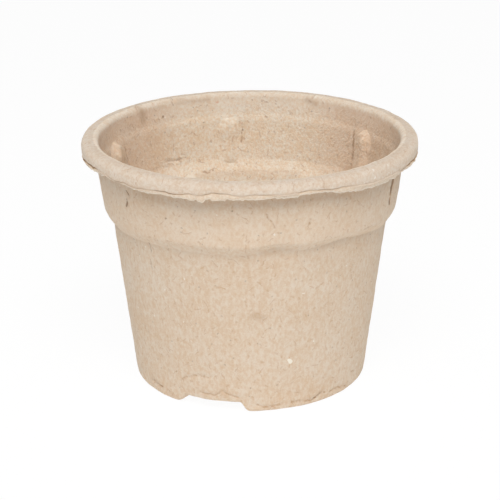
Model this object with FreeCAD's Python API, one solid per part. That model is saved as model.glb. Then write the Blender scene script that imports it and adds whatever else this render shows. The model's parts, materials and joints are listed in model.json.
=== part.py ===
import FreeCAD, Part
import math
import os

# Moulded fibre nursery pot: one thin shell with an outward rim, standing on three feet.
# The pot stands on z = 0 with its axis on Z, and its front faces -Y.
# Sizes are millimetres. Angles are degrees round the axis from the front, growing towards +X.

V = FreeCAD.Vector
UP = V(0, 0, 1)
AXIS = V(0, 0, 0)

# Whole pot
rim_diameter = 130.0
pot_height = 97.4
wall = 2.0

# Rim roll: a band that turns outwards and down round the mouth
rim_overhang = 5.0
rim_thickness = 2.4
rim_lip = 2.6
rim_skirt = 4.6
rim_throat = 6.5
rim_outer_rounding = 2.8
rim_inner_rounding = 2.3
rim_groove_rounding = 0.8
throat_flare = 0.6

# Torn edge of pulp under the rim roll
torn_depth = 1.6
torn_inset = 0.35
torn_thickness = 1.7
torn_wave = 0.75
torn_points = 144
torn_tooth_counts = (5, 11, 23, 41)
torn_tooth_shares = (0.30, 0.28, 0.24, 0.18)

# Collar: the wide top part of the wall
collar_height = 20.6
collar_taper = 2.9

# Shoulder: the step between the collar and the lower wall
shoulder_height = 3.8
shoulder_step = 3.3
shoulder_rounding = 1.3
shoulder_land = 1.2
ledge_drop = 0.3

# Lower wall
wall_taper = 7.9

# Stacking ribs inside the collar, each with a closed fold on the outside
rib_count = 6
rib_first_angle = 7.5
rib_radius = 3.0
rib_proud = 2.7
rib_top_drop = 3.2
fold_width = 0.6
fold_depth = 1.2
fold_length = 8.0
fold_drop = 7.0

# Feet, and the drain notches between them
foot_count = 3
foot_height = 4.3
foot_width = 7.0
foot_rounding = 1.5
foot_end_wall = 2.0
notch_first_angle = -18.7
notch_width = 27.0
notch_left_run = 4.7
notch_right_run = 2.3
notch_rounding = 2.5
channel_rounding = 0.7

# Floor, raised on the feet, with a drain hole beside each notch
drain_hole_diameter = 8.0
drain_circle_diameter = 58.0

# How far a cutting shape runs past what it cuts
overrun = 1.0

# Radii and heights worked out from the sizes above
rim_radius = rim_diameter / 2
collar_top_radius = rim_radius - rim_overhang
collar_bottom_radius = collar_top_radius - collar_taper
wall_top_radius = collar_bottom_radius - shoulder_step
base_radius = wall_top_radius - wall_taper
collar_top = pot_height - rim_throat
shoulder_top = collar_top - collar_height
shoulder_bottom = shoulder_top - shoulder_height
floor_top = foot_height + wall
wall_slope = wall_taper / shoulder_bottom
collar_slope = collar_taper / collar_height


def at_front(radius, height):
    """A point of a section drawn through the front of the pot."""
    return V(0, -radius, height)


def turned(shape, angle):
    """A copy of a shape drawn at the front, turned round the axis."""
    copy = shape.copy()
    copy.rotate(AXIS, UP, angle)
    return copy


def rounded_face(corners):
    """A flat face through corners, each a point with the rounding it gets."""
    count = len(corners)
    edges = []
    starts = []
    ends = []
    for i, (point, rounding) in enumerate(corners):
        if rounding == 0:
            starts.append(point)
            ends.append(point)
            continue
        back = (corners[i - 1][0] - point).normalize()
        ahead = (corners[(i + 1) % count][0] - point).normalize()
        half = back.getAngle(ahead) / 2
        setback = rounding / math.tan(half)
        inwards = (back + ahead).normalize()
        middle = point + inwards * (rounding / math.sin(half) - rounding)
        start = point + back * setback
        end = point + ahead * setback
        edges.append(Part.Arc(start, middle, end).toShape())
        starts.append(start)
        ends.append(end)
    for i in range(count):
        following = (i + 1) % count
        edges.append(Part.LineSegment(ends[i], starts[following]).toShape())
    return Part.Face(Part.Wire(Part.__sortEdges__(edges)))


def ring(corners):
    """A full turn of a section drawn at the front, as (radius, height, rounding)."""
    face = rounded_face([(at_front(radius, height), rounding) for radius, height, rounding in corners])
    return face.revolve(AXIS, UP, 360)


def outer_radius(height):
    """The outside of the lower wall at a height."""
    return base_radius + wall_slope * height


def one_solid(shape):
    """The single solid of a shape that a cut or a common left in a compound."""
    solids = shape.Solids
    if len(solids) != 1:
        raise ValueError("expected one solid, found %d" % len(solids))
    return solids[0]


def band(low, high):
    """A disc wider than the pot between two heights."""
    return Part.makeCylinder(rim_radius + overrun, high - low, at_front(0, low))


def make_wall_solid():
    """The outside of the wall from the floor line to the rim, filled."""
    return ring([
        (0, 0, 0),
        (base_radius, 0, 0),
        (wall_top_radius, shoulder_bottom, shoulder_rounding),
        (collar_bottom_radius, shoulder_top, shoulder_rounding),
        (collar_top_radius, collar_top, 0),
        (0, collar_top, 0),
    ])


def make_cavity():
    """The hollow inside the wall."""
    ledge_bottom = shoulder_bottom - ledge_drop
    ledge_top = shoulder_top - ledge_drop
    return ring([
        (0, 0, 0),
        (base_radius - wall, 0, 0),
        (outer_radius(ledge_bottom) - wall, ledge_bottom, shoulder_rounding),
        (collar_bottom_radius - wall, ledge_top, shoulder_rounding),
        (collar_top_radius - wall, collar_top, 0),
        (0, collar_top, 0),
    ])


def make_rim_roll():
    """The smooth rolled rim, hollow underneath."""
    skirt_bottom = pot_height - rim_skirt
    groove_top = pot_height - rim_thickness
    throat_radius = collar_top_radius - wall
    return ring([
        (rim_radius, pot_height, rim_outer_rounding),
        (rim_radius, skirt_bottom, 0),
        (rim_radius - rim_lip, skirt_bottom, 0),
        (rim_radius - rim_lip, groove_top, rim_groove_rounding),
        (collar_top_radius, groove_top, rim_groove_rounding),
        (collar_top_radius, collar_top, 0),
        (throat_radius, collar_top, 0),
        (throat_radius + throat_flare, pot_height, rim_inner_rounding),
    ])


def loop_curve(radius, height, wave):
    """A closed curve round the pot whose height wanders like torn pulp."""
    points = []
    for i in range(torn_points):
        turn = 2 * math.pi * i / torn_points
        teeth = zip(torn_tooth_counts, torn_tooth_shares)
        wander = sum(share * math.sin(count * turn + count) for count, share in teeth)
        points.append(V(radius * math.sin(turn), -radius * math.cos(turn), height + wave * wander))
    curve = Part.BSplineCurve()
    curve.interpolate(Points=points, PeriodicFlag=True)
    return curve.toShape()


def make_torn_edge():
    """The ragged flash of pulp that hangs under the rim roll."""
    top = pot_height - rim_skirt
    outside = rim_radius - torn_inset
    inside = outside - torn_thickness
    loops = [
        loop_curve(outside, top, 0),
        loop_curve(outside, top - torn_depth, torn_wave),
        loop_curve(inside, top - torn_depth, torn_wave),
        loop_curve(inside, top, 0),
    ]
    skin = Part.Compound([Part.makeRuledSurface(loops[i - 1], loops[i]) for i in range(len(loops))])
    skin.sewShape()
    solid = Part.Solid(Part.Shell(skin.Faces))
    if solid.Volume < 0:
        solid.reverse()
    return solid


def make_rib(cavity):
    """A round-topped upright rib, filled with pulp, trimmed to the inside of the wall."""
    top = collar_top - rib_top_drop - rib_radius
    bottom = shoulder_bottom - ledge_drop
    set_in = wall + rib_proud - rib_radius
    upper = at_front(collar_bottom_radius + collar_slope * (top - shoulder_top) - set_in, top)
    lower = at_front(collar_bottom_radius + collar_slope * (bottom - shoulder_top) - set_in, bottom)
    run = upper - lower
    stem = Part.makeCylinder(rib_radius, run.Length, lower, run)
    cap = Part.makeSphere(rib_radius, upper)
    bar = stem.fuse(cap)
    return one_solid(bar.common(cavity).common(band(bottom, collar_top)))


def make_fold():
    """A narrow upright slit in the outside of the collar, where the pulp folds into a rib."""
    high = collar_top - fold_drop
    low = high - fold_length
    reach = collar_bottom_radius + collar_slope * (low - shoulder_top) - fold_depth
    slit = Part.makeBox(fold_width, rim_overhang, fold_length)
    slit.translate(V(-fold_width / 2, -reach - rim_overhang, low))
    lean = math.degrees(math.atan(collar_slope))
    slit.rotate(at_front(reach, low), V(1, 0, 0), lean)
    return slit


def notch_cutter():
    """A bar with sloping sides that cuts one drain notch, drawn through the front."""
    left = -notch_width / 2
    right = notch_width / 2
    clear = notch_rounding + overrun
    corners = [
        (V(left - clear, 0, -overrun), 0),
        (V(left - clear, 0, 0), 0),
        (V(left, 0, 0), notch_rounding),
        (V(left + notch_left_run, 0, foot_height), 0),
        (V(right - notch_right_run, 0, foot_height), 0),
        (V(right, 0, 0), notch_rounding),
        (V(right + clear, 0, 0), 0),
        (V(right + clear, 0, -overrun), 0),
    ]
    return rounded_face(corners).extrude(at_front(rim_radius, 0))


def notch_angles():
    """The middle of each drain notch."""
    return [notch_first_angle + 360 * i / foot_count for i in range(foot_count)]


def make_channel():
    """The hollow inside the feet: a ring groove, left whole across each notch."""
    inner = base_radius - foot_width + wall
    high = floor_top + overrun
    groove = ring([
        (inner, wall, channel_rounding),
        (outer_radius(wall) - wall, wall, channel_rounding),
        (outer_radius(high) - wall, high, 0),
        (inner, high, 0),
    ])
    half = notch_width / 2 + foot_end_wall
    bridge = Part.makeBox(2 * half, rim_radius, high, V(-half, -rim_radius, 0))
    return groove.cut([turned(bridge, angle) for angle in notch_angles()])


def make_feet(channel):
    """The bead under the wall, cut into feet by the drain notches."""
    bead = ring([
        (outer_radius(foot_height), foot_height, 0),
        (base_radius, 0, foot_rounding),
        (base_radius - foot_width, 0, foot_rounding),
        (base_radius - foot_width, foot_height, 0),
    ])
    cutters = [turned(notch_cutter(), angle) for angle in notch_angles()]
    pieces = bead.cut(cutters).cut(channel).Solids
    feet = []
    for angle in notch_angles():
        middle = turned(Part.Vertex(at_front(base_radius, 0)), angle + 180 / foot_count)
        feet.append(min(pieces, key=lambda piece: piece.distToShape(middle)[0]))
    return feet


def make_floor(cavity, channel):
    """The raised floor with its drain holes."""
    plate = cavity.common(band(foot_height, floor_top)).cut(channel)
    hole = Part.makeCylinder(
        drain_hole_diameter / 2, wall + 2 * overrun, at_front(drain_circle_diameter / 2, foot_height - overrun))
    return one_solid(plate.cut([turned(hole, angle) for angle in notch_angles()]))


def make_parts():
    """Every node of the pot by name."""
    cavity = make_cavity()
    channel = make_channel()
    shell = make_wall_solid().cut(cavity)
    step_low = shoulder_bottom - ledge_drop - shoulder_land
    step_high = shoulder_top + shoulder_land
    rib_angles = [rib_first_angle + 360 * i / rib_count for i in range(rib_count)]
    folds = [turned(make_fold(), angle) for angle in rib_angles]
    parts = {
        "rim_roll": make_rim_roll(),
        "torn_edge": make_torn_edge(),
        "collar": one_solid(shell.common(band(step_high, collar_top)).cut(folds)),
        "shoulder": one_solid(shell.common(band(step_low, step_high))),
        "lower_wall": one_solid(shell.common(band(foot_height, step_low))),
        "floor": make_floor(cavity, channel),
    }
    rib = make_rib(cavity)
    for number, angle in enumerate(rib_angles, 1):
        parts["stacking_rib_%d" % number] = turned(rib, angle)
    for number, foot in enumerate(make_feet(channel), 1):
        parts["foot_%d" % number] = foot
    return parts


os.makedirs("parts", exist_ok=True)
for name, shape in make_parts().items():
    shape.exportStep("parts/%s.step" % name)
    print("%-16s solids %d volume %8.1f valid %s" % (name, len(shape.Solids), shape.Volume, shape.isValid()))
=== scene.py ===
import contextlib
import json
import math

import bpy
import numpy as np
from mathutils import Matrix, Vector

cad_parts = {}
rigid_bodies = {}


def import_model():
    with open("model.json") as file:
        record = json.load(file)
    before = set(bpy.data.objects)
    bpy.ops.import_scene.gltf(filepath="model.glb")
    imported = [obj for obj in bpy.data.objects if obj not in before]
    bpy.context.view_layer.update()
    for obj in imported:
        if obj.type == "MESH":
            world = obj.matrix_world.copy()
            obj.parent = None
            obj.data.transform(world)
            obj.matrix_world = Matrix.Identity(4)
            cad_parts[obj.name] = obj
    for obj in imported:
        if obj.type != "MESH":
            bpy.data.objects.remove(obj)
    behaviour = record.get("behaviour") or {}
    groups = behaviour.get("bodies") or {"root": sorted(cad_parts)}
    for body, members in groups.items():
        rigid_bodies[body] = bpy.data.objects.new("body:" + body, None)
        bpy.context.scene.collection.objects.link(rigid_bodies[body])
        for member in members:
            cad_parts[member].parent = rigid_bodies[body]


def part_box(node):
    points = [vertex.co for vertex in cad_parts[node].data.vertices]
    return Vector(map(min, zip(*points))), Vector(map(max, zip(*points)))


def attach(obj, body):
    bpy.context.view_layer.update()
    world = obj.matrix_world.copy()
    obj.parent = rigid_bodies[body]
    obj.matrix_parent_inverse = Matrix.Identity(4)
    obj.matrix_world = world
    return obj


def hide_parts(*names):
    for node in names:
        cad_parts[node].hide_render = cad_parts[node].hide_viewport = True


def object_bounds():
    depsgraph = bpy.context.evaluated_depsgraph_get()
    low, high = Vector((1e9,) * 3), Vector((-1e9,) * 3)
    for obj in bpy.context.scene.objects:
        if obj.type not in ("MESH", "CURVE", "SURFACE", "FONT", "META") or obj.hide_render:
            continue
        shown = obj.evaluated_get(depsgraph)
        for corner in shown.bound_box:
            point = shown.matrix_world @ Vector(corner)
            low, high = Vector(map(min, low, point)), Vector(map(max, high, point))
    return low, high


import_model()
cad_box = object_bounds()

# Sizes are millimetres and angles are degrees, unless a name says otherwise.
# An angle goes round the pot's axis from the front, growing towards the right.
MM = 0.001
BODY = "root"
FULL_TURN = 360.0

# Sizes that the frame gives
POT_HEIGHT = cad_box[1].z / MM
RIM_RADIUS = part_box("rim_roll")[1].x / MM
COLLAR_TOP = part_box("collar")[1].z / MM
COLLAR_TOP_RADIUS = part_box("collar")[1].x / MM
COLLAR_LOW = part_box("collar")[0].z / MM
SHOULDER_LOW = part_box("shoulder")[0].z / MM
FOOT_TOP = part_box("foot_1")[1].z / MM
FLOOR_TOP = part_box("floor")[1].z / MM

# Sizes of the moulding
WALL = 2.0
RIM_THICKNESS = 2.4
RIM_LIP = 2.6
RIM_SKIRT = 4.6
THROAT_FLARE = 0.6
COLLAR_TAPER = 2.9
SHOULDER_HEIGHT = 3.8
SHOULDER_STEP = 3.3
SHOULDER_LAND = 1.2
LEDGE_DROP = 0.3
LEDGE_REACH = 1.8
SWELL = 0.5
SWELL_TOP = 89.0
SWELL_LOW = 85.8
WALL_TAPER = 7.9
FOOT_WIDTH = 7.0

SHOULDER_TOP = COLLAR_LOW - SHOULDER_LAND
SHOULDER_BOTTOM = SHOULDER_TOP - SHOULDER_HEIGHT
COLLAR_LOW_RADIUS = COLLAR_TOP_RADIUS - COLLAR_TAPER
WALL_TOP_RADIUS = COLLAR_LOW_RADIUS - SHOULDER_STEP
BASE_RADIUS = WALL_TOP_RADIUS - WALL_TAPER
WALL_SLOPE = WALL_TAPER / SHOULDER_BOTTOM
COLLAR_SLOPE = COLLAR_TAPER / (COLLAR_TOP - SHOULDER_TOP)
SKIRT_LOW = POT_HEIGHT - RIM_SKIRT
RIM_INNER = RIM_RADIUS - RIM_LIP
FOOT_MIDDLE = BASE_RADIUS - FOOT_WIDTH / 2
LEG_RADIUS = BASE_RADIUS - FOOT_WIDTH
LEDGE_SLOPE = ((SHOULDER_STEP + WALL_SLOPE * (LEDGE_DROP + LEDGE_REACH))
               / (SHOULDER_HEIGHT + LEDGE_REACH))

# How finely the moulding is divided, and how near points are one point
STEPS = 720
TORN_STEPS = 1440
MERGE = 0.001

# Soft lamps: name, place, width and height in metres, watts, and colour
NEUTRAL = (1.0, 1.0, 1.0)
COOL = (0.85, 0.94, 1.0)
LAMPS = [
    ("softbox_front", (0.0, -0.9, 1.15), 0.9, 0.7, 11.8, NEUTRAL),
    ("softbox_above", (0.0, -0.6, 1.4), 1.2, 0.8, 7.5, NEUTRAL),
    ("softbox_left", (-1.3, -0.6, 0.12), 0.9, 0.2, 2.0, COOL),
    ("softbox_right", (1.3, -0.6, 0.12), 0.9, 0.2, 1.8, COOL),
]


def make_camera():
    """The photograph's view: far back, a little above, and a touch rolled."""
    lens_mm = 113.0
    sensor_mm = 36.0
    distance = 623.8
    rise = math.radians(20.52)
    roll = math.radians(-0.31)
    aim = Vector((0.0, 0.0, 48.7))
    data = bpy.data.cameras.new("camera")
    data.lens = lens_mm
    data.sensor_width = sensor_mm
    camera = bpy.data.objects.new("camera", data)
    bpy.context.scene.collection.objects.link(camera)
    place = aim + Vector((0.0, -distance * math.cos(rise), distance * math.sin(rise)))
    tilt = Matrix.Rotation(math.pi / 2 - rise, 4, "X")
    camera.matrix_world = Matrix.Translation(place * MM) @ tilt @ Matrix.Rotation(roll, 4, "Z")
    bpy.context.scene.camera = camera


def add_lamp(name, place, width, height, watts, tint):
    """A soft rectangular lamp that looks at the middle of the pot."""
    data = bpy.data.lights.new(name, "AREA")
    data.shape = "RECTANGLE"
    data.size = width
    data.size_y = height
    data.energy = watts
    data.color = tint
    lamp = bpy.data.objects.new(name, data)
    bpy.context.scene.collection.objects.link(lamp)
    lamp.location = place
    to_pot = Vector((0.0, 0.0, POT_HEIGHT * MM / 2)) - Vector(place)
    lamp.rotation_euler = to_pot.to_track_quat("-Z", "Y").to_euler()


def make_light():
    """Two soft lamps above the camera, a weak one at each side, and faint even surroundings."""
    ambient = 0.09
    world = bpy.data.worlds.new("surroundings")
    bpy.context.scene.world = world
    start = empty_tree(world)
    seen, glossy, clear = [start.node("LightPath", {}, "Is %s Ray" % kind)
                           for kind in ("Camera", "Glossy", "Transmission")]
    direct = seen.math("MAXIMUM", glossy).math("MAXIMUM", clear)
    strength = direct * (1 - ambient) + ambient
    start.node("OutputWorld", {"Surface": start.node(
        "Background", {"Color": colour(1, 1, 1), "Strength": strength})})
    for lamp in LAMPS:
        add_lamp(*lamp)


class Value:
    """A number, colour or direction in a material. Plain sums on it add the nodes."""

    def __init__(self, tree, socket):
        self.tree = tree
        self.socket = socket

    def node(self, kind, inputs, out=0, **settings):
        """Adds one node with its settings, then its inputs, and returns one output."""
        node = self.tree.nodes.new("ShaderNode" + kind)
        for name, setting in settings.items():
            setattr(node, name, setting)
        for name, value in inputs.items():
            if isinstance(value, Value):
                self.tree.links.new(value.socket, node.inputs[name])
            else:
                node.inputs[name].default_value = value
        return Value(self.tree, node.outputs[out] if node.outputs else None)

    def math(self, operation, *others):
        inputs = dict(enumerate((self, *others)))
        return self.node("Math", inputs, operation=operation)

    def __add__(self, other):
        return self.math("ADD", other)

    def __mul__(self, other):
        return self.math("MULTIPLY", other)

    def __sub__(self, other):
        return self.math("SUBTRACT", other)

    def __rsub__(self, other):
        return (self * -1.0) + other

    __radd__ = __add__
    __rmul__ = __mul__

    def swing(self, weight):
        """Turns a pattern from 0 to 1 into a weighted one above and below 0."""
        return (self - 0.5) * weight

    def vector(self, operation, *others, out=0):
        inputs = dict(enumerate((self, *others)))
        return self.node("VectorMath", inputs, out, operation=operation)

    def scaled(self, factor):
        return self.node("VectorMath", {0: self, "Scale": factor}, operation="SCALE")

    def step(self, low, high):
        """Rises smoothly from 0 at low to 1 at high."""
        return self.node("MapRange", {"Value": self, "From Min": low, "From Max": high},
                         interpolation_type="SMOOTHSTEP")

    def fall(self, low, high):
        """Falls smoothly from 1 at low to 0 at high."""
        return 1 - self.step(low, high)

    # The Mix node has sockets 2, 3 and 0 for numbers, and 6, 7 and 2 for colours
    def mix_number(self, off, on):
        """The number off where this is 0, and on where it is 1."""
        return self.node("Mix", {0: self, 2: off, 3: on}, 0)

    def mix(self, off, on):
        """The colour off where this is 0, and on where it is 1."""
        return self.node("Mix", {0: self, 6: off, 7: on}, 2, data_type="RGBA")


def empty_tree(owner):
    """Clears the nodes of a material or the world, and gives a value to add new ones from."""
    owner.use_nodes = True
    owner.node_tree.nodes.clear()
    return Value(owner.node_tree, None)


def colour(red, green, blue):
    return (red, green, blue, 1.0)


# How much a fibre bends for its length, and the share of it that is full
FIBRE_BEND = 0.5
FIBRE_CORE = 0.3

# The middle of a pattern's three channels
MIDDLE = (0.5, 0.5, 0.5)


class Pulp:
    """The pressed fibre's material while it is built: where a point is, and its patterns."""

    def __init__(self, name):
        self.material = bpy.data.materials.new(name)
        self.start = empty_tree(self.material)
        self.place = self.start.node("TexCoord", {}, "Object").scaled(1 / MM)
        self.facing = self.start.node("TexCoord", {}, "Normal")
        self.across = self.start.node("SeparateXYZ", {0: self.place}, "X")
        self.height = self.start.node("SeparateXYZ", {0: self.place}, "Z")

    def noise(self, size, detail=2.0, roughness=0.5, stretch=(1, 1, 1), seed=0.0):
        """Cloudy noise from 0 to 1 whose patches are about this many millimetres wide."""
        scale = tuple(1 / (size * share) for share in stretch)
        shifted = self.place.vector("MULTIPLY", scale).vector("ADD", (seed, seed, seed))
        return self.start.node("TexNoise", {
            "Vector": shifted, "Scale": 1.0, "Detail": detail, "Roughness": roughness}, "Fac")

    def drift(self, place, scale):
        """A smooth random direction at each place, its three channels from 0 to 1."""
        return self.start.node("TexNoise", {
            "Vector": place, "Scale": scale, "Detail": 1.0}, "Color")

    def strokes(self, spacing, length, width, chance, seed):
        """Short fibres flat on the skin in every direction, one to a cell: 1 on a fibre."""
        shifted = self.place.vector("ADD", (seed, seed, seed))
        bend = self.drift(shifted, 1 / length).scaled(length * FIBRE_BEND)
        bent = shifted.vector("ADD", bend)
        cell = {"Vector": bent, "Scale": 1 / spacing}
        centre = self.start.node("TexVoronoi", cell, "Position")
        chosen = self.start.node("TexWhiteNoise", {"Vector": centre}, "Value")
        lean = self.start.node("TexWhiteNoise", {"Vector": centre}, "Color")
        direction = self.flat(lean.vector("SUBTRACT", MIDDLE)).vector("NORMALIZE")
        away = self.flat(bent.vector("SUBTRACT", centre))
        lengthwise = away.vector("DOT_PRODUCT", direction, out="Value")
        sideways = away.vector("SUBTRACT", direction.scaled(lengthwise))
        body = sideways.vector("LENGTH", out="Value").fall(width * FIBRE_CORE, width)
        ends = lengthwise.math("ABSOLUTE").fall(length * FIBRE_CORE, length / 2)
        return body * ends * chosen.math("LESS_THAN", chance)

    def flat(self, direction):
        """The part of a direction that lies along the surface."""
        out = direction.vector("DOT_PRODUCT", self.facing, out="Value")
        return direction.vector("SUBTRACT", self.facing.scaled(out))

    def kept(self, name):
        """A value that the piece keeps on its points."""
        return self.start.node("Attribute", {}, "Fac", attribute_name=name)

    def finish(self, tone, roughness, relief, relief_mm):
        """Joins colour, roughness and relief to one shader."""
        bump = self.start.node("Bump", {
            "Height": relief, "Distance": relief_mm * MM, "Strength": 1.0})
        shader = self.start.node("BsdfPrincipled", {
            "Base Color": tone, "Roughness": roughness, "Specular IOR Level": 0.2,
            "Diffuse Roughness": 0.4, "Normal": bump})
        self.start.node("OutputMaterial", {"Surface": shader})
        return self.material


# The pulp's pale and warm colour outside, inside, on the rim and in the throat. The inside's and
# the throat's colours are lighter copies: painted light that stands in for the light inside the pot
PALE = colour(0.74, 0.635, 0.52)
WARM = colour(0.675, 0.505, 0.352)
PALE_INSIDE_LIT = colour(0.935, 0.86, 0.745)
WARM_INSIDE_LIT = colour(0.845, 0.67, 0.48)
PALE_RIM = colour(0.735, 0.645, 0.55)
WARM_RIM = colour(0.67, 0.525, 0.395)
PALE_THROAT_LIT = colour(0.92, 0.84, 0.73)
WARM_THROAT_LIT = colour(0.85, 0.69, 0.52)

# The skin's zones by height: where each one starts and where it is full
RIM_ZONE = (COLLAR_TOP - 0.5, COLLAR_TOP + 2.5)
LIP_ZONE = (COLLAR_TOP + 3.0, COLLAR_TOP + 6.0)
THROAT_ZONE = (COLLAR_TOP - 6.0, COLLAR_TOP + 3.0)
BAND_START = (62.0, 66.0)
BAND_END = (83.0, 88.0)
RIM_SHADOW_ZONE = (84.5, 90.5)

# The inside's flanks, darker with painted shade: how far from the middle they start and are
# full, and how far to the left that middle is
FLANK_ZONE = (22.0, 46.0)
FLANK_SHIFT = 2.0

# How much less the lip takes of the throat's colours, and a proud rib of the flanks' painted
# shade, so that the rib looks lit
LIP_LESS = 0.35
RIB_LESS_PAINTED_SHADE = 0.25

# Soft tints of a zone: how strong, and the paint. The flanks' tint is painted shade, the band's
# is painted light over the shoulder and collar, and the one under the rim is a painted shadow
FLANK_PAINTED_SHADE = (0.42, colour(0.68, 0.44, 0.28))
BAND_PAINTED_LIGHT = (0.22, colour(0.84, 0.67, 0.51))
UNDER_RIM_PAINTED_SHADOW = (0.3, colour(0.60, 0.42, 0.28))

# Fibres in the skin: spacing, length, width, chance, seed, how strong, and the paint
FIBRES = {
    "flecks": (4.4, 1.6, 0.42, 0.5, 5.0, 0.35, colour(0.52, 0.32, 0.18)),
    "specks": (6.5, 0.8, 0.35, 0.35, 9.0, 0.5, colour(0.38, 0.27, 0.20)),
    "hairs": (3.4, 3.0, 0.18, 0.6, 17.0, 0.25, colour(0.84, 0.75, 0.65)),
    "strands": (7.0, 3.4, 0.24, 0.55, 33.0, 0.5, colour(0.54, 0.34, 0.20)),
    "whites": (12.0, 0.8, 0.4, 0.15, 27.0, 0.6, colour(0.90, 0.87, 0.82)),
}

# The marks' tones: name, paint, how far off a line they start and are full, and how strong. The
# fold and crack tones are painted shade in creases and slits
TONES = [
    ("stain", colour(0.52, 0.35, 0.22), -2.6, 1.2, 0.5),
    ("fold", colour(0.50, 0.31, 0.18), -0.5, 0.15, 0.75),
    ("crack", colour(0.34, 0.21, 0.125), -0.45, 0.1, 0.9),
    ("rust", colour(0.72, 0.32, 0.12), -0.4, 0.3, 0.65),
    ("white", colour(0.88, 0.83, 0.73), -0.4, 0.0, 0.9),
]

# The torn edge's creamy and warm fibre, its fringe, and the crack's painted shade where it is
# open and where it is shut
CREAM = colour(0.80, 0.70, 0.58)
TORN_WARM = colour(0.73, 0.57, 0.42)
FRINGE = colour(0.86, 0.79, 0.69)
CRACK_PAINTED_SHADE = colour(0.60, 0.38, 0.22)
CRACK_PAINTED_DARK = colour(0.36, 0.21, 0.11)
SHUT_CRACK_PAINTED_SHADE = colour(0.68, 0.56, 0.45)


def make_pulp():
    """The moulded fibre: pale and warm mottling, finer and calmer on the rim, pebbly inside."""
    pulp = Pulp("moulded_pulp")

    # Where on the pot a point is, and where the tints paint shade on the inside's flanks, light in
    # the band over the shoulder and collar, and a shadow under the rim
    outside = pulp.kept("outside")
    rim = pulp.height.step(*RIM_ZONE)
    lip = pulp.height.step(*LIP_ZONE)
    inside = (1 - outside) * (1 - rim)
    throat = pulp.height.step(*THROAT_ZONE) * (1 - outside) * (1 - lip * LIP_LESS)
    shaded_flanks = (pulp.across + FLANK_SHIFT).math("ABSOLUTE").step(*FLANK_ZONE)
    shaded_flanks = shaded_flanks * (1 - outside) * (1 - lip) * (1 - pulp.kept("proud") * RIB_LESS_PAINTED_SHADE)
    lit_band = pulp.height.step(*BAND_START) * pulp.height.fall(*BAND_END) * outside
    shadow_under_rim = pulp.height.step(*RIM_SHADOW_ZONE) * outside * (1 - rim)

    # The fibre's own patterns, slightly bent, and how warm they are together
    bend_scale, bend_mm = 0.9, 0.9
    bend = pulp.drift(pulp.place, bend_scale).vector("SUBTRACT", MIDDLE)
    pulp.place = pulp.place.vector("ADD", bend.scaled(bend_mm))
    clouds = pulp.noise(15.0, seed=3.0)
    blotches = pulp.noise(4.0, seed=7.0)
    upright = pulp.noise(1.15, roughness=0.6, stretch=(1, 1, 1.8), seed=11.0)
    even = pulp.noise(1.15, roughness=0.6, seed=12.0)
    mottling = (outside * (1 - rim)).mix_number(even, upright)
    fine = pulp.noise(0.6, detail=1.0, seed=23.0)
    warmth = clouds.swing(0.7) + blotches.swing(0.5) + mottling.swing(1.9) + fine.swing(0.9)
    reach = 0.55 - inside * 0.07
    share = warmth.step(reach * -1.0, reach)

    # The tone: each zone's own colours, soft tints of painted shade and light, fibres, and marks,
    # whose folds and cracks are painted shade, and whose folds are broken
    most = 0.9
    tone = share.mix(PALE, WARM)
    # Inside and in the throat, the lighter copies are painted light
    tone = (inside * most).mix(tone, share.mix(PALE_INSIDE_LIT, WARM_INSIDE_LIT))
    tone = (rim * most).mix(tone, share.mix(PALE_RIM, WARM_RIM))
    tone = throat.mix(tone, share.mix(PALE_THROAT_LIT, WARM_THROAT_LIT))
    for zone, (strength, paint) in ((shaded_flanks, FLANK_PAINTED_SHADE), (lit_band, BAND_PAINTED_LIGHT), (shadow_under_rim, UNDER_RIM_PAINTED_SHADOW)):
        tone = (zone * strength).mix(tone, paint)
    fibres = {}
    for name, (*form, strength, paint) in FIBRES.items():
        fibres[name] = pulp.strokes(*form)
        tone = (fibres[name] * strength).mix(tone, paint)
    faintest = 0.2
    gaps = pulp.noise(1.5, detail=1.0, seed=53.0).step(0.4, 0.56)
    broken = gaps * (1 - faintest) + faintest
    for name, paint, low, high, strength in TONES:
        here = pulp.kept(name).step(NEAR + low, NEAR + high) * strength
        tone = (here * broken if name == "fold" else here).mix(tone, paint)

    # The relief, with its pebbles mostly inside, and a roughness that drifts a little
    pebbles = pulp.noise(1.0, roughness=0.55, seed=41.0) * (inside * 1.5 + 0.35)
    relief = pebbles + mottling * 0.4 + fine * 0.3 + fibres["hairs"] * 0.25
    roughness = clouds * 0.1 + 0.86
    return pulp.finish(tone, roughness, relief, relief_mm=0.22)


def make_torn_pulp():
    """The torn edge: creamy open fibre, painted shade in the crack above it, a whiter fringe."""
    pulp = Pulp("torn_pulp")
    mottling = pulp.noise(0.9, roughness=0.6, seed=13.0)
    fine = pulp.noise(0.4, detail=1.0, seed=19.0)
    warmth = mottling.swing(1.8) + fine.swing(0.8)
    tone = warmth.step(-0.5, 0.5).mix(CREAM, TORN_WARM)
    fringe = pulp.kept("above_tear").fall(0.15, 0.7)
    tone = (fringe * 0.7).mix(tone, FRINGE)
    # Painted shade in the crack: darker where it is deep, a fainter line where it is shut
    depth = pulp.kept("crack_depth")
    wider = (depth - 1).math("MAXIMUM", 0) * 0.45
    below = pulp.kept("below_crack") + mottling.swing(0.25) - wider
    near = below.fall(0.1, 0.6)
    tone = (near * depth * 0.5).mix(tone, CRACK_PAINTED_SHADE)
    tone = (below.fall(0.0, 0.28) * depth * 0.9).mix(tone, CRACK_PAINTED_DARK)
    tone = (near * (1 - depth) * 0.9).mix(tone, SHUT_CRACK_PAINTED_SHADE)
    relief = mottling * 0.6 + fine * 0.5
    roughness = mottling * 0.05 + 0.9
    return pulp.finish(tone, roughness, relief, relief_mm=0.25)


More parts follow.
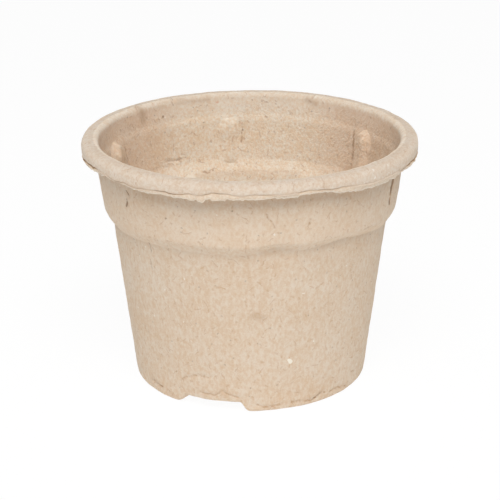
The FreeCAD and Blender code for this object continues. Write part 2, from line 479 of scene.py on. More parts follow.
def make_floor():
    """A plain pale floor that the camera sees as white, with a faint contact shadow."""
    size = 6.0
    glow = 0.3
    whiteness = 0.93
    bpy.ops.mesh.primitive_plane_add(size=size)
    floor = bpy.context.object
    floor.name = "ground"
    material = bpy.data.materials.new("ground")
    start = empty_tree(material)
    seen = start.node("LightPath", {}, "Is Camera Ray")
    white = start.node("Emission", {"Color": colour(1, 1, 1), "Strength": 1.0})
    faint = start.node("Emission", {"Color": colour(1, 1, 1), "Strength": glow})
    plain = start.node("BsdfDiffuse", {"Color": colour(0.85, 0.85, 0.85)})
    lit = start.node("AddShader", {0: plain, 1: faint})
    mixed = start.node("MixShader", {0: seen * whiteness, 1: lit, 2: white})
    start.node("OutputMaterial", {"Surface": mixed})
    floor.data.materials.append(material)


def rounded(corners):
    """Points round an outline of (radius, height, rounding, spacing), its corners rounded.

    Each point comes with the number of its corner.
    """
    widest_turn = math.radians(15)
    points = []
    for i, (radius, height, rounding, _) in enumerate(corners):
        corner = Vector((radius, height))
        if not rounding:
            points.append((corner, i))
            continue
        back = (Vector(corners[i - 1][:2]) - corner).normalized()
        ahead = (Vector(corners[(i + 1) % len(corners)][:2]) - corner).normalized()
        half = back.angle(ahead) / 2
        setback = rounding / math.tan(half)
        centre = corner + (back + ahead).normalized() * (rounding / math.sin(half))
        first = corner + back * setback - centre
        turn = math.pi - 2 * half
        side = 1 if first.x * back.y - first.y * back.x < 0 else -1
        pieces = max(2, math.ceil(turn / widest_turn))
        for j in range(pieces + 1):
            angle = side * turn * j / pieces
            points.append((centre + Matrix.Rotation(angle, 2) @ first, i))
    return points


def divided(corners):
    """The rounded outline with every straight run cut into steps of its own spacing."""
    points = rounded(corners)
    finished = [points[0][0]]
    for (point, corner), (following, next_corner) in zip(points, points[1:]):
        if next_corner != corner:
            cuts = int((following - point).length / corners[corner][3])
            finished += [point.lerp(following, k / cuts) for k in range(1, cuts)]
        finished.append(following)
    return finished


def outer_radius(height):
    """The outside of the lower wall at a height."""
    return BASE_RADIUS + WALL_SLOPE * height


def deselect():
    bpy.ops.object.select_all(action="DESELECT")


def only(piece):
    """Makes one piece the selected and active one."""
    deselect()
    piece.select_set(True)
    bpy.context.view_layer.objects.active = piece


@contextlib.contextmanager
def editing(piece):
    """Opens one piece in edit mode for what follows, and closes it again."""
    only(piece)
    bpy.ops.object.mode_set(mode="EDIT")
    yield
    bpy.ops.object.mode_set(mode="OBJECT")


def unselect(piece, kind):
    """Leaves nothing of a piece's mesh selected, so that single edges or faces can be."""
    with editing(piece):
        bpy.ops.mesh.select_mode(type=kind)
        bpy.ops.mesh.select_all(action="DESELECT")


def face_outwards(piece):
    """Turns the faces of a closed piece outwards."""
    with editing(piece):
        bpy.ops.mesh.select_all(action="SELECT")
        bpy.ops.mesh.normals_make_consistent(inside=False)


def modify(piece, name, kind, **settings):
    """Adds one modifier with its settings, and applies it."""
    modifier = piece.modifiers.new(name, kind)
    for setting, value in settings.items():
        setattr(modifier, setting, value)
    only(piece)
    bpy.ops.object.modifier_apply(modifier=name)


def turn_section(name, points, steps, closed):
    """Turns a section, drawn through the front, once round the pot's axis."""
    deselect()
    bpy.ops.mesh.primitive_circle_add(vertices=len(points), radius=1)
    piece = bpy.context.object
    piece.name = name
    for vertex, point in zip(piece.data.vertices, points):
        vertex.co = Vector((0.0, -point.x, point.y)) * MM
    keep_value(piece, "home_radius", [point.x for point in points])
    keep_value(piece, "home_height", [point.y for point in points])
    keep_value(piece, "home_order", range(len(points)))
    if not closed:
        unselect(piece, "EDGE")
        for edge in piece.data.edges:
            edge.select = set(edge.vertices) == {0, len(points) - 1}
        with editing(piece):
            bpy.ops.mesh.delete(type="EDGE")
    modify(piece, "turn", "SCREW", steps=steps, render_steps=steps,
           use_merge_vertices=True, merge_threshold=MERGE * MM)
    with editing(piece):
        bpy.ops.mesh.select_all(action="SELECT")
        bpy.ops.mesh.remove_doubles(threshold=MERGE * MM)
    face_outwards(piece)
    bpy.ops.object.shade_smooth()
    return piece


def get_points(piece):
    """A piece's points as an array, in millimetres."""
    flat = np.zeros(len(piece.data.vertices) * 3)
    piece.data.vertices.foreach_get("co", flat)
    return flat.reshape(-1, 3) / MM


def set_points(piece, points):
    piece.data.vertices.foreach_set("co", (points * MM).ravel())
    piece.data.update()


def keep_value(piece, name, values, kind="FLOAT"):
    """Stores one value on every point of a piece under a name."""
    attribute = piece.data.attributes.new(name, kind, "POINT")
    field = "vector" if kind == "FLOAT_VECTOR" else "value"
    attribute.data.foreach_set(field, np.asarray(values, np.float32).ravel())


def kept_value(piece, name, width=1):
    """Reads back what keep_value stored."""
    attribute = piece.data.attributes[name]
    values = np.zeros(len(attribute.data) * width, np.float32)
    attribute.data.foreach_get("vector" if width == 3 else "value", values)
    return values.reshape(-1, 3) if width == 3 else values


def smoothstep(values, low, high):
    share = np.clip((values - low) / (high - low), 0, 1)
    return share * share * (3 - 2 * share)


def angle_gap(angles, middle):
    """Degrees from an angle, between -180 and 180."""
    return (angles - middle + FULL_TURN / 2) % FULL_TURN - FULL_TURN / 2


def wander(angles, count, seed):
    """A smooth random value from -1 to 1 round the pot, with this many turning points."""
    knots = np.random.default_rng(seed).uniform(-1, 1, count)
    spot = (angles % FULL_TURN) / FULL_TURN * count
    before = np.floor(spot).astype(int)
    share = smoothstep(spot - before, 0, 1)
    return knots[before % count] * (1 - share) + knots[(before + 1) % count] * share


def with_waves(values, angles, waves):
    """Values round the pot with wanders of (amount, turning points, seed) added."""
    for amount, count, seed in waves:
        values = values + amount * wander(angles, count, seed)
    return values


def along(points, angles, elsewhere):
    """A line of (angle, value) across the front that settles to a value elsewhere."""
    fade = 12.0
    first, last = points[0], points[-1]
    spots = [first[0] - fade] + [p[0] for p in points] + [last[0] + fade]
    values = [elsewhere] + [p[1] for p in points] + [elsewhere]
    return np.interp(angle_gap(angles, 0), spots, values)


# Drain notches: their angles, how wide they are to each side, and how far each side slopes
NOTCH_FIRST = -18.7
NOTCH_COUNT = 3
NOTCH_ANGLES = [NOTCH_FIRST + FULL_TURN * i / NOTCH_COUNT for i in range(NOTCH_COUNT)]
NOTCH_LEFT = 16.2
NOTCH_RIGHT = 14.2
NOTCH_LEFT_RUN = 7.0
NOTCH_RIGHT_RUN = 4.2

# Their height as a share of the feet's, how much wider the hollow above them is closed, up to
# what height the wall is lifted, and how nearly flat the leg and the hollow are pressed
NOTCH_LIFT = 0.86
NOTCH_BRIDGE = 2.0
LIFT_FADE_TOP = 9.0
SQUEEZE = 0.985

# Drain holes, one at each notch's angle
HOLE_RADIUS = 4.0
HOLE_CIRCLE_RADIUS = 29.0

# The smooth roll ends in a crack at these heights (angle, height), and in small waves
CRACK_LINE = [
    (-77, 92.3), (-72, 92.3), (-67, 92.9), (-57, 93.2), (-50, 91.9), (-44, 92.2), (-38, 91.9),
    (-30, 92.6), (-24, 92.2), (-19, 93.0), (-15, 92.6), (-12, 94.0), (-7, 94.0), (-2, 93.1),
    (4, 93.6), (8, 93.1), (15, 93.5), (19, 94.0), (25, 93.3), (30, 93.4), (40, 92.1), (50, 92.2),
    (62, 91.9), (68, 92.4), (77, 92.0),
]
CRACK_REST = 92.9
CRACK_WAVES = [(0.25, 90, 4), (0.14, 260, 5)]

# Torn pulp hangs below it, down to these heights (angle, height). Its teeth: their size, how
# far they are lifted, below what level of their wander the large ones show, how much of that
# counts, and the small ones
TORN_LINE = [
    (-80, 90.6), (-70, 90.8), (-62, 91.0), (-50, 91.1), (-43, 91.1), (-40, 90.6), (-36, 90.3),
    (-32, 90.2), (-29.5, 91.3), (-28, 90.9), (-25, 90.1), (-22, 90.8), (-20.3, 90.6),
    (-19.6, 90.0), (-17.8, 90.0), (-17.3, 90.5), (-16.5, 90.0), (-14.6, 90.0), (-14, 90.8),
    (-12.4, 91.1), (-12, 90.5), (-8, 90.6), (-7.2, 91.3), (-1, 91.3), (4, 91.4), (7, 91.7),
    (11, 91.2), (15, 91.3), (16, 92.2), (25, 91.9), (34, 90.2), (43, 89.8), (59, 90.0),
    (66, 90.4), (80, 90.3),
]
TORN_REST = 90.7
TEETH = 0.75
TEETH_LIFT = 0.35
TEETH_LEVEL = -0.35
TEETH_SHARE = 0.8
TEETH_WAVES = [(0.3, 280, 54), (0.2, 640, 52)]

# How deep the crack is (angle, depth), and the torn pulp's waves outwards. How far the torn
# pulp swells over the front, curls out under the deepest crack, and is pressed out where the
# crack is shut.
CRACK_DEPTH = [
    (-180, 0.5), (-84, 1.2), (-77, 1.5), (-63, 1.5), (-59, 0.35), (-52, 0.3), (-49, 0.9),
    (-44, 0.8), (-31, 0.5), (-26, 0.9), (-21, 0.8), (-17, 0.4), (-14, 0.75), (-4, 0.7), (0, 0.5),
    (4, 0.8), (8, 0.4), (10, 0.1), (14, 0.1), (16, 0.8), (27, 0.8), (30, 0.9), (33, 0.7),
    (36, 0.15), (58, 0.1), (62, 0.7), (66, 1.4), (77, 1.5), (84, 1.2), (180, 0.5),
]
TORN_WAVES = [(0.16, 110, 61), (0.14, 420, 62)]
FRONT_SWELL = 0.1
DEEP_CURL = 0.45
SHUT_PUSH = 0.42

# The torn edge's section: how far out from the lip's inside, and how high, where the crack is
# at 0 and the lower edge is at -1
TORN_SECTION = [
    (0.9, 1.0), (1.0, 0.35), (0.9, -0.2), (1.0, -0.55), (1.2, -0.85), (1.5, -1.0),
    (1.8, -0.97), (2.05, -0.85), (2.2, -0.65), (2.3, -0.45), (2.38, -0.25), (2.38, -0.1),
    (2.35, 0.0), (2.1, 0.15), (1.85, 0.4), (1.7, 1.0),
]

# Ribs inside: name, angle, top, half width, how proud the head and the body are, and shape,
# which is the share of the half width over which the side away from the front falls
RIBS = [
    ("stacking_rib_1", 7.5, 86.2, 3.8, 2.6, 1.8, 0.35),
    ("stacking_rib_2", 66.5, 86.4, 3.8, 2.6, 1.8, 0.35),
    ("stacking_rib_3", 123.4, 87.8, 4.0, 2.7, 2.5, 0.4),
    ("stacking_rib_4", -170.5, 87.0, 4.8, 1.1, 0.8, 0.7),
    ("stacking_rib_5", -107.8, 87.4, 5.0, 2.6, 2.2, 0.35),
    ("stacking_rib_6", -51.5, 86.4, 3.8, 2.6, 1.8, 0.35),
]

# How far a rib's skin reaches past its width, how far its edge is sunk in the wall, how thick
# it is behind, how far below the shoulder's top it starts, and how far below its own top its
# head starts and is full
RIB_SKIRT = 1.4
RIB_SINK = 0.45
RIB_BACK = 0.35
RIB_FOOT = 3.0
RIB_HEAD_START = 9.5
RIB_HEAD_FULL = 5.0

# As shares of a rib's half width: its body, how much wider its head is, where it ends, where
# its soft side starts to fall, and where its edge sinks into the wall
RIB_BODY = 0.9
RIB_HEAD = 0.1
RIB_END = 1.2
RIB_SOFT = 0.05
RIB_EDGE = (0.85, 1.4)

# Where the shoulder runs into the lower wall (angle, height)
STEP_LINE = [
    (-68, 65.4), (-57, 65.5), (-43, 66.3), (-33, 66.5), (-20, 66.7), (-4, 66.6), (2, 67.2),
    (8, 69.0), (11, 69.3), (14, 68.3), (20, 67.1), (28, 68.0), (37, 68.6), (49, 67.4), (68, 65.4),
]
STEP_REST = 66.3
STEP_WAVES = [(0.3, 26, 8)]

# The whole pot's sag, and its stretch to an oval: how much, turned how far, and above what
# height. Its lumps: name, size and strength.
SAG = 0.28
SAG_TURN = 45
SAG_LOW = 60
STRETCH = 0.0022
STRETCH_TURN = 40
STRETCH_LOW = 10
LUMPS = [("broad_lumps", 14.0, 0.5), ("small_lumps", 4.0, 0.22)]

# Marks on the skin: tone, side, half width, how deep it is pushed in, over what reach, and
# (angle, height). NEAR is the nearness that is kept on the edge of a mark. Waves up and down
# and sideways make the marks' lines shaky.
NEAR = 3.0
SHAKE_WAVES = [(0.3, 240, 72)]
SHAKE_SIDEWAYS = 0.22
MARKS = [
    ("crack", "outside", 1.0, 0.35, 1.0, [(65.0, 85.6), (65.2, 83.0)]),
    ("crack", "outside", 0.75, 0.35, 0.9, [(65.2, 83.0), (65.2, 80.5)]),
    ("fold", "outside", 0.8, 0.35, 0.9, [(65.2, 80.5), (65.6, 77.5)]),
    ("crack", "outside", 0.45, 0.3, 0.8, [(65.5, 77.0), (65.9, 75.7)]),
    ("white", "outside", -0.1, -0.1, 0.6, [(63.0, 84.5), (63.2, 77.5)]),
    ("crack", "outside", 0.15, 0.4, 0.8, [(-50.2, 86.7), (-48.9, 85.3)]),
    ("crack", "outside", 0.1, 0.4, 0.8, [(-50.6, 83.2), (-51.0, 81.6)]),
    ("crack", "outside", 0.35, 0.4, 0.8, [(-51.0, 81.6), (-51.5, 80.2)]),
    ("fold", "outside", 0.1, 0.3, 0.7, [(5.7, 84.4), (6.1, 83.4), (8.0, 80.2), (8.9, 78.7)]),
    ("crack", "outside", 0.0, 0.3, 0.8, [(-44.0, 66.7), (-43.7, 62.7)]),
    ("crack", "outside", -0.05, 0.3, 0.8, [(-44.7, 59.8), (-44.5, 55.0)]),
    ("fold", "outside", 0.1, 0.4, 0.7, [
        (-35.2, 9.4), (-31.7, 12.4), (-29.2, 12.5), (-26.9, 13.9), (-22.3, 14.3), (-19.9, 13.6),
        (-18.4, 14.4)]),
    ("fold", "outside", 0.1, 0.35, 0.6, [
        (-25.0, 7.0), (-20.9, 6.5), (-16.9, 6.4), (-13.9, 8.5), (-10.2, 6.8), (-6.0, 6.4)]),
    ("fold", "outside", 0.15, 0.4, 0.6, [
        (2.9, 3.1), (5.3, 2.1), (8.9, 1.6), (12.5, 2.2), (15.9, 3.4)]),
    ("fold", "outside", 0.2, 0.45, 0.6, [
        (19.9, 2.7), (24.1, 2.9), (28.9, 1.9), (31.3, 1.9), (34.0, 3.2), (36.9, 4.0), (38.5, 3.3)]),
    ("fold", "outside", 0.2, 0.45, 0.6, [(41.5, 3.0), (46.5, 3.3), (50.0, 2.6), (54.8, 1.6)]),
    ("fold", "outside", 0.05, 0.3, 0.5, [(20.4, 7.1), (23.8, 6.5)]),
    ("fold", "outside", 0.3, 0.5, 0.7, [(-56.4, 4.4), (-52.1, 4.1), (-48.1, 3.9)]),
    ("crack", "outside", 0.0, 0.0, 0.5, [(-53.0, 4.2), (-48.4, 3.9)]),
    ("crack", "outside", 0.0, 0.1, 0.5, [(31.8, 2.2), (34.0, 3.2), (36.2, 3.8)]),
    ("fold", "outside", 0.1, 0.2, 0.5, [(57.0, 7.2), (61.0, 5.9)]),
    ("crack", "inside", 0.35, 0.1, 0.6, [(-142, 90.7)]),
    ("rust", "inside", 0.3, 0.0, 0.6, [(-167, 93.9), (-166.6, 93.7)]),
    ("rust", "inside", 0.25, 0.1, 0.6, [(-176.8, 84.6)]),
    ("crack", "inside", 0.2, 0.1, 0.6, [(-177.2, 81.6)]),
    ("fold", "inside", 0.15, 0.3, 0.8, [(-176.9, 84.0), (-176.8, 80.6), (-176.5, 76.5)]),
    ("fold", "inside", 0.15, 0.1, 0.5, [(173.6, 88.0), (172.4, 86.4)]),
    ("fold", "inside", 0.3, 0.3, 0.8, [(130.9, 86.3), (130.5, 83.1), (130.2, 79.0), (129.9, 74.9)]),
    ("fold", "inside", 0.1, 0.3, 0.8, [(-117.0, 84.5), (-117.5, 80.4), (-118.0, 78.2)]),
    ("fold", "inside", 0.3, 0.1, 0.6, [(154, 94.9)]),
    ("fold", "inside", 0.3, 0.1, 0.6, [(112, 86.8)]),
    ("stain", "inside", 0.8, 0.0, 1.0, [(-129.5, 98.2), (-131.5, 95.0), (-131.5, 91.8)]),
    ("stain", "inside", -0.3, 0.0, 1.0, [(-150.0, 96.0), (-163.0, 95.2)]),
    ("stain", "inside", 0.0, 0.0, 1.0, [(155.5, 95.6), (151.5, 94.2)]),
    ("white", "inside", 0.4, -0.3, 0.6, [(-161, 66.9)]),
    ("fold", "inside", 0.25, 0.25, 0.6, [(-158.0, 66.2), (-160.0, 65.6), (-163.0, 66.0)]),
    ("fold", "inside", -0.15, 0.1, 0.6, [
        (-160.0, 65.4), (-170.0, 65.0), (-190.0, 65.0), (-200.0, 65.4)]),
    ("stain", "inside", -0.5, 0.0, 1.0, [(-155.0, 65.0), (-180.0, 64.4), (-204.0, 65.0)]),
    ("fold", "inside", 0.1, 0.35, 0.6, [(-141, 72.5), (-145, 71.6), (-151, 72.3)]),
    ("white", "outside", 0.7, -0.1, 0.8, [(17.6, 21.5), (18.0, 21.0)]),
    ("white", "outside", 0.05, -0.05, 0.5, [(-24.2, 63.1)]),
    ("white", "outside", 0.05, -0.05, 0.5, [(15.3, 65.3)]),
    ("white", "outside", 0.0, -0.05, 0.5, [(22.7, 53.7)]),
    ("crack", "outside", 0.25, 0.1, 0.5, [(-31.3, 80.1)]),
    ("crack", "outside", 0.2, 0.1, 0.5, [(-6.1, 85.7)]),
    ("fold", "outside", 0.3, 0.1, 0.6, [(21.6, 80.9), (21.6, 78.9)]),
    ("stain", "outside", 0.3, 0.0, 1.5, [(1.5, 41.6), (5.0, 40.8)]),
]


def shell_section():
    """The moulding's outline, from the middle of its underside round to its floor's middle.

    A corner is (radius, height, rounding, spacing). The crown is the point that parts the
    outside from the inside.
    """
    ledge_low = SHOULDER_BOTTOM - LEDGE_DROP - LEDGE_REACH
    ledge_high = SHOULDER_TOP - LEDGE_DROP
    groove_top = POT_HEIGHT - RIM_THICKNESS
    ledge_radius = COLLAR_LOW_RADIUS - WALL - (ledge_high - SHOULDER_LOW) * LEDGE_SLOPE
    groove = LEG_RADIUS + WALL
    wide = 1.6
    inner = 1.2
    outer = 0.8
    fine = 0.5
    outside = [
        (0, FOOT_TOP, 0, wide),
        (LEG_RADIUS, FOOT_TOP, 0, fine),
        (LEG_RADIUS, 0, 1.3, fine),
        (BASE_RADIUS, 0, 1.5, fine),
        (outer_radius(FOOT_TOP), FOOT_TOP, 0, outer),
        (outer_radius(SHOULDER_LOW), SHOULDER_LOW, 0, fine),
        (WALL_TOP_RADIUS, SHOULDER_BOTTOM, 0.7, fine),
        (COLLAR_LOW_RADIUS, SHOULDER_TOP, 3.3, fine),
        (COLLAR_LOW_RADIUS + COLLAR_SLOPE * SHOULDER_LAND, COLLAR_LOW, 0, fine),
        (COLLAR_TOP_RADIUS, COLLAR_TOP, 0, fine),
        (COLLAR_TOP_RADIUS, groove_top, 0.8, fine),
        (RIM_INNER, groove_top, 0.8, fine),
        (RIM_INNER, SKIRT_LOW, 0.3, fine),
        (RIM_RADIUS, SKIRT_LOW, 0.45, fine),
    ]
    inside = [
        (RIM_RADIUS, POT_HEIGHT, 2.8, fine),
        (COLLAR_TOP_RADIUS - WALL + THROAT_FLARE, POT_HEIGHT, 2.3, fine),
        (COLLAR_TOP_RADIUS - WALL, COLLAR_TOP, 0, fine),
        (COLLAR_LOW_RADIUS - WALL + COLLAR_SLOPE * SHOULDER_LAND, COLLAR_LOW, 0, fine),
        (COLLAR_LOW_RADIUS - WALL, ledge_high, 1.2, fine),
        (ledge_radius, SHOULDER_LOW, 0, fine),
        (outer_radius(ledge_low) - WALL, ledge_low, 2.0, inner),
        (outer_radius(FOOT_TOP) - WALL, FOOT_TOP, 0, fine),
        (outer_radius(WALL) - WALL, WALL, 0.7, fine),
        (groove, WALL, 0.7, fine),
        (groove, FOOT_TOP, 0, fine),
        (groove, FLOOR_TOP, 0.6, wide),
        (0, FLOOR_TOP, 0, wide),
    ]
    points = divided(outside + inside)
    crown = max(range(len(points)), key=lambda i: (points[i].y, points[i].x))
    return points, crown


def swell(heights):
    """How much thicker the collar is inside, below the line under the throat."""
    below = 1 - smoothstep(heights, SWELL_LOW, SWELL_TOP)
    return SWELL * below * smoothstep(heights, SHOULDER_BOTTOM, SHOULDER_TOP)


def notch_lift(angles, radius, reach):
    """How far each drain notch is open, from 0 beside it to 1 over its full height."""
    lift = np.zeros(len(angles))
    left = -NOTCH_LEFT - reach
    right = -NOTCH_RIGHT - reach
    for middle in NOTCH_ANGLES:
        across = np.radians(angle_gap(angles, middle)) * radius
        up = smoothstep(across, left, left + NOTCH_LEFT_RUN) ** 2
        down = smoothstep(-across, right, right + NOTCH_RIGHT_RUN) ** 2
        lift = np.maximum(lift, up * down)
    return lift


def shape_feet(radius, height, angles, outside):
    """Lifts the bead out of each notch, and closes the hollow above it."""
    slack = 0.2
    groove_slack = 0.7
    lift = notch_lift(angles, FOOT_MIDDLE, 0) * FOOT_TOP * NOTCH_LIFT
    leg = radius < LEG_RADIUS + slack
    fade = np.where(leg, SQUEEZE * (1 - height / FOOT_TOP), 1 - height / LIFT_FADE_TOP)
    top = np.where(leg, FOOT_TOP, LIFT_FADE_TOP)
    below = outside & (height < top) & (radius > LEG_RADIUS - slack)
    raised = np.where(below, height + lift * np.clip(fade, 0, 1), height)
    close = notch_lift(angles, FOOT_MIDDLE, NOTCH_BRIDGE) * (FLOOR_TOP - WALL) * SQUEEZE
    hollow = ~outside & (height < FLOOR_TOP) & (radius > LEG_RADIUS + WALL - groove_slack)
    share = np.clip(1 - (height - WALL) / (FLOOR_TOP - WALL), 0, 1)
    return np.where(hollow, height + close * share, raised)


def crack_height(angles):
    """The height of the crack under the rim."""
    return with_waves(along(CRACK_LINE, angles, CRACK_REST), angles, CRACK_WAVES)


def torn_height(angles):
    """The height of the torn pulp's ragged lower edge."""
    deepest = np.minimum(wander(angles, 170, 51) - TEETH_LEVEL, 0) * TEETH_SHARE
    teeth = with_waves(deepest, angles, TEETH_WAVES)
    return along(TORN_LINE, angles, TORN_REST) + teeth * TEETH + TEETH_LIFT


def shape_rim(radius, height, angles, outside):
    """Ends the smooth roll along its crack."""
    slack = 0.3
    skirt = outside & (radius > RIM_INNER - slack) & (height > SKIRT_LOW - 1)
    fade = 1 - smoothstep(height, SKIRT_LOW + 0.4, POT_HEIGHT - 1.2)
    return np.where(skirt, height + (crack_height(angles) - SKIRT_LOW) * fade, height)


def shape_step(height, angles):
    """Bends the line where the shoulder runs into the lower wall."""
    line = with_waves(along(STEP_LINE, angles, STEP_REST), angles, STEP_WAVES)
    low, high = SHOULDER_BOTTOM - 7.0, SHOULDER_TOP + 3.0
    up = 1 - smoothstep(height, SHOULDER_BOTTOM + 0.5, high)
    down = smoothstep(height, low, SHOULDER_BOTTOM - 0.8)
    return height + (line - SHOULDER_BOTTOM) * up * down


def add_lumps(piece, name, size, strength):
    """Displaces a piece along its surface by clouds of one size."""
    texture = bpy.data.textures.new(name, "CLOUDS")
    texture.noise_scale = size * MM
    texture.noise_depth = 1
    modify(piece, name, "DISPLACE", texture=texture, texture_coords="LOCAL",
           strength=strength * MM, mid_level=0.5)


def settle(piece, radius, heights, lift, angles):
    """Puts a piece's points in place, with the whole pot's sag and stretch, and adds its lumps."""
    turn = np.radians(angles)
    sag = SAG * np.sin(np.radians(angles - SAG_TURN)) * smoothstep(heights, SAG_LOW, POT_HEIGHT)
    high = smoothstep(heights, STRETCH_LOW, POT_HEIGHT)
    wide = radius * (1 + STRETCH * np.sin(np.radians(2 * angles + STRETCH_TURN)) * high)
    set_points(piece, np.column_stack([
        wide * np.sin(turn), -wide * np.cos(turn), heights + lift + sag]))
    for lumps in LUMPS:
        add_lumps(piece, *lumps)


def make_blank():
    """The whole moulding in one skin, before it is parted into its pieces."""
    points, crown = shell_section()
    blank = turn_section("blank", points, STEPS, False)
    place = get_points(blank)
    radius = kept_value(blank, "home_radius")
    height = kept_value(blank, "home_height")
    outside = kept_value(blank, "home_order") <= crown
    angles = np.degrees(np.arctan2(place[:, 0], -place[:, 1]))
    keep_value(blank, "outside", outside)
    lift = shape_feet(radius, height, angles, outside) - height
    lift += shape_rim(radius, height, angles, outside) - height
    lift += shape_step(height, angles) - height
    radius = radius - np.where(outside, 0, swell(height))
    pushed = mark_skin(blank, radius, height + lift, angles, outside)
    settle(blank, pushed, height, lift, angles)
    points = get_points(blank)
    points[:, 2] = np.maximum(points[:, 2], 0.0)
    set_points(blank, points)
    return blank


def line_gap(line, radius, heights, angles):
    """Millimetres over the skin from each point to a line of (angle, height)."""
    far, least = 99.0, 1e-6
    best = np.full(len(angles), far)
    for first, last in zip(line, line[1:] or line):
        across = np.radians(angle_gap(angles, first[0])) * radius
        up = heights - first[1]
        run = np.radians(last[0] - first[0]) * radius
        rise = last[1] - first[1]
        length = np.maximum(run * run + rise * rise, least)
        share = np.clip((across * run + up * rise) / length, 0, 1)
        best = np.minimum(best, np.hypot(across - share * run, up - share * rise))
    return best


def mark_skin(piece, radius, heights, angles, outside):
    """Keeps how near each point is to each tone's marks, and pushes the skin in along cracks."""
    nearness = {}
    shaky = with_waves(heights, angles, SHAKE_WAVES)
    sideways = SHAKE_SIDEWAYS * wander(heights * 4, 90, 71) / np.maximum(radius, 1)
    turned = angles + np.degrees(sideways)
    for tone, side, half_width, depth, reach, line in MARKS:
        here, inward = (outside, 1) if side == "outside" else (~outside, -1)
        gap = line_gap(line, radius, shaky, turned)
        near = nearness.setdefault(tone, np.zeros(len(angles)))
        near[:] = np.where(here, np.maximum(near, NEAR + half_width - gap), near)
        push = np.where(here, depth * np.exp(-(gap / reach) ** 2), 0)
        radius = radius - inward * push
    for tone, near in nearness.items():
        keep_value(piece, tone, near)
    return radius


def make_rib(name, angle, top, half_width, proud, body, shape):
    """One upright rib of the inside wall: a rounded head above a lower body, soft at its foot."""
    deselect()
    columns, rows = 40, 90
    bpy.ops.mesh.primitive_grid_add(x_subdivisions=columns, y_subdivisions=rows, size=2)
    piece = bpy.context.object
    piece.name = name
    grid = get_points(piece) * MM
    across = -grid[:, 0] * (half_width + RIB_SKIRT)
    low = SHOULDER_TOP - RIB_FOOT
    heights = low + (grid[:, 1] + 1) / 2 * (top + RIB_SKIRT - low)

    # The wall behind the rib, and the ledge below it
    ledge = SHOULDER_TOP - LEDGE_DROP
    wall = COLLAR_LOW_RADIUS - WALL + COLLAR_SLOPE * (heights - SHOULDER_TOP)
    wall += np.maximum(heights - COLLAR_TOP, 0) * THROAT_FLARE / (POT_HEIGHT - COLLAR_TOP)
    wall -= swell(heights)
    seat = COLLAR_LOW_RADIUS - WALL - swell(heights) - (ledge - heights) * LEDGE_SLOPE

    # How far the rib stands out, with its soft side towards the front
    head = smoothstep(heights, top - RIB_HEAD_START, top - RIB_HEAD_FULL)
    over = np.maximum(heights - (top - half_width), 0)
    away = np.hypot(across, over) / (half_width * (RIB_BODY + RIB_HEAD * head))
    forward = across * math.copysign(1, angle) < 0
    bulge = 1 - smoothstep(away, np.where(forward, RIB_SOFT, RIB_END - shape), RIB_END)
    out = (body + (proud - body) * head) * bulge - RIB_SINK * smoothstep(away, *RIB_EDGE)
    radius = np.minimum(wall - out, np.where(heights < ledge, seat, wall) + RIB_SINK)
    angles = angle_gap(angle + np.degrees(across / wall), 0)

    keep_value(piece, "proud", bulge)
    settle(piece, radius, heights, shape_step(heights, angles) - heights, angles)
    modify(piece, "thick", "SOLIDIFY", thickness=RIB_BACK * MM, offset=-1)
    face_outwards(piece)
    bpy.ops.object.shade_smooth()
    return piece


def make_torn_edge():
    """The ragged band of torn pulp that hangs below the crack under the rim."""
    section = [Vector((RIM_INNER + out, height)) for out, height in TORN_SECTION]
    piece = turn_section("torn_edge", section, TORN_STEPS, True)
    place = get_points(piece)
    radius = kept_value(piece, "home_radius")
    share = kept_value(piece, "home_height")
    angles = np.degrees(np.arctan2(place[:, 0], -place[:, 1]))
    crack = crack_height(angles)
    torn = torn_height(angles)
    heights = np.where(share < 0, crack + share * (crack - torn), crack + share)

    # Ragged below the crack, and fuller over the front
    out = radius - RIM_RADIUS + RIM_LIP
    ragged = with_waves(0, angles, TORN_WAVES) + 0.1 * wander(angles + share, 700, 63)
    radius = radius + ragged * smoothstep(-share, 0.05, 0.5) * out / RIM_LIP
    front = smoothstep(-np.abs(angle_gap(angles, 0)), -60, -45)
    radius = radius + FRONT_SWELL * smoothstep(-share, 0.3, 1.0) * front

    # Curled out under the deepest crack, and pressed out where the crack is shut
    depth = np.interp(angle_gap(angles, 0), *zip(*CRACK_DEPTH))
    deepest = smoothstep(depth, 1.0, 1.5)
    radius = radius + DEEP_CURL * deepest * smoothstep(-share, 0.1, 0.6)
    outer = radius - RIM_RADIUS + RIM_LIP > 1.75
    shut = 1 - smoothstep(depth, 0.2, 0.7)
    radius = radius + SHUT_PUSH * shut * (smoothstep(share, -0.5, -0.2) * outer)

    keep_value(piece, "below_crack", crack - heights)
    keep_value(piece, "above_tear", heights - torn)
    keep_value(piece, "crack_depth", depth)
    home = COLLAR_TOP + 1.0
    settle(piece, radius, np.full(len(angles), home), heights - home, angles)
    return piece


def face_values(piece, values):
    """The mean over each face of a value kept on the points."""
    starts = np.zeros(len(piece.data.polygons), int)
    piece.data.polygons.foreach_get("loop_start", starts)
    corners = np.zeros(len(piece.data.loops), int)
    piece.data.loops.foreach_get("vertex_index", corners)
    counts = np.diff(np.append(starts, len(corners)))
    return np.add.reduceat(values[corners], starts) / counts


def cut_out(blank, name, wanted):
    """Takes the wanted faces of the moulding off as a piece of their own."""
    unselect(blank, "FACE")
    blank.data.polygons.foreach_set("select", wanted)
    before = set(bpy.data.objects)
    with editing(blank):
        bpy.ops.mesh.separate(type="SELECTED")
    piece = (set(bpy.data.objects) - before).pop()
    piece.name = name
    return piece


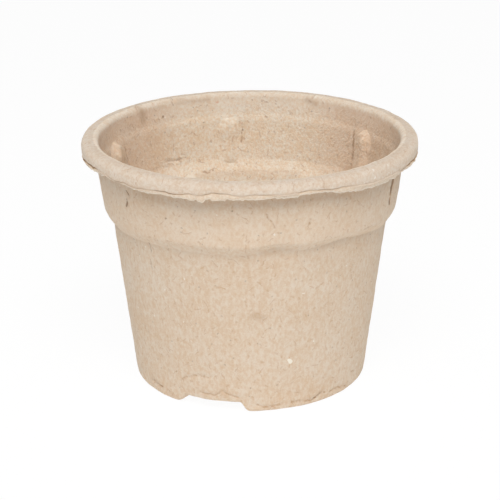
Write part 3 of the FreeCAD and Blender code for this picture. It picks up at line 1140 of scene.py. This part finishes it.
def close_piece(piece, cuts):
    """Joins the outer and inner edge between each two heights, so that the piece is closed."""
    for low, high in cuts:
        height = kept_value(piece, "home_height")
        unselect(piece, "EDGE")
        with editing(piece):
            bpy.ops.mesh.select_non_manifold(
                extend=False, use_wire=False, use_boundary=True,
                use_multi_face=False, use_non_contiguous=False, use_verts=False)
        flags = np.zeros(len(piece.data.edges), bool)
        piece.data.edges.foreach_get("select", flags)
        ends = np.zeros(len(piece.data.edges) * 2, int)
        piece.data.edges.foreach_get("vertices", ends)
        there = (height[ends] > low) & (height[ends] < high)
        nothing = np.zeros(len(piece.data.vertices), bool)
        piece.data.vertices.foreach_set("select", nothing)
        piece.data.edges.foreach_set("select", flags & there.reshape(-1, 2).all(axis=1))
        with editing(piece):
            bpy.ops.mesh.bridge_edge_loops()
    face_outwards(piece)
    normals = kept_value(piece, "skin_normal", 3)
    piece.data.normals_split_custom_set_from_vertices([tuple(n) for n in normals])


def part_blank(blank):
    """Parts the moulding at the joints of the frame, and closes each piece."""
    normals = np.zeros(len(blank.data.vertices) * 3, np.float32)
    blank.data.vertices.foreach_get("normal", normals)
    keep_value(blank, "skin_normal", normals, "FLOAT_VECTOR")
    past_groove, past_leg = 0.3, 0.6
    groove_side = LEG_RADIUS + WALL + past_groove
    foot_side = groove_side - WALL - past_leg
    near = 0.05
    open_notch = 0.97
    anywhere = (-1, POT_HEIGHT)
    pieces = {}

    def faces():
        height = face_values(blank, kept_value(blank, "home_height"))
        radius = face_values(blank, kept_value(blank, "home_radius"))
        place = get_points(blank)
        x = face_values(blank, place[:, 0])
        y = face_values(blank, place[:, 1])
        return height, radius, np.degrees(np.arctan2(x, -y))

    def take(name, wanted, cuts):
        pieces[name] = cut_out(blank, name, wanted)
        close_piece(pieces[name], cuts)

    rings = [("rim_roll", [COLLAR_TOP]), ("collar", [COLLAR_TOP, COLLAR_LOW]),
             ("shoulder", [COLLAR_LOW, SHOULDER_LOW]), ("lower_wall", [SHOULDER_LOW, FOOT_TOP])]
    for name, cuts in rings:
        height, radius, _ = faces()
        wanted = (height > cuts[-1]) & (radius > groove_side)
        take(name, wanted, [(cut - near, cut + near) for cut in cuts])
    third = FULL_TURN / NOTCH_COUNT
    for i in range(NOTCH_COUNT):
        height, radius, angles = faces()
        foot = (height < FOOT_TOP) & (radius > foot_side)
        sector = np.abs(angle_gap(angles, NOTCH_FIRST + third * (i + 0.5))) < third / 2
        shut = notch_lift(angles, FOOT_MIDDLE, 0) > open_notch
        take("foot_%d" % (i + 1), foot & sector & ~shut, [anywhere])
    blank.name = "floor"
    close_piece(blank, [anywhere])
    pieces["floor"] = blank
    return pieces


def drill_floor(floor):
    """Cuts the round drain holes through the floor."""
    deselect()
    drills = []
    for notch in NOTCH_ANGLES:
        turn = math.radians(notch)
        place = Vector((math.sin(turn), -math.cos(turn), 0.0)) * HOLE_CIRCLE_RADIUS
        bpy.ops.mesh.primitive_cylinder_add(
            vertices=64, radius=HOLE_RADIUS * MM, depth=2 * FLOOR_TOP * MM,
            location=(place.x * MM, place.y * MM, FLOOR_TOP * MM))
        drills.append(bpy.context.object)
    for drill in drills:
        modify(floor, "drain_hole", "BOOLEAN", operation="DIFFERENCE", solver="EXACT",
               object=drill)
    deselect()
    for drill in drills:
        drill.select_set(True)
    bpy.ops.object.delete()


make_camera()
make_light()
make_floor()
bpy.context.scene.view_settings.view_transform = "Standard"
moulded = make_pulp()
torn = make_torn_pulp()
pieces = part_blank(make_blank())
drill_floor(pieces["floor"])
for rib in RIBS:
    pieces[rib[0]] = make_rib(*rib)
pieces["torn_edge"] = make_torn_edge()
for name, piece in pieces.items():
    piece.data.materials.append(torn if name == "torn_edge" else moulded)
    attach(piece, BODY)
    "torn_fibre" if name == "torn_edge" else "moulded_fibre"
    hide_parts(name)
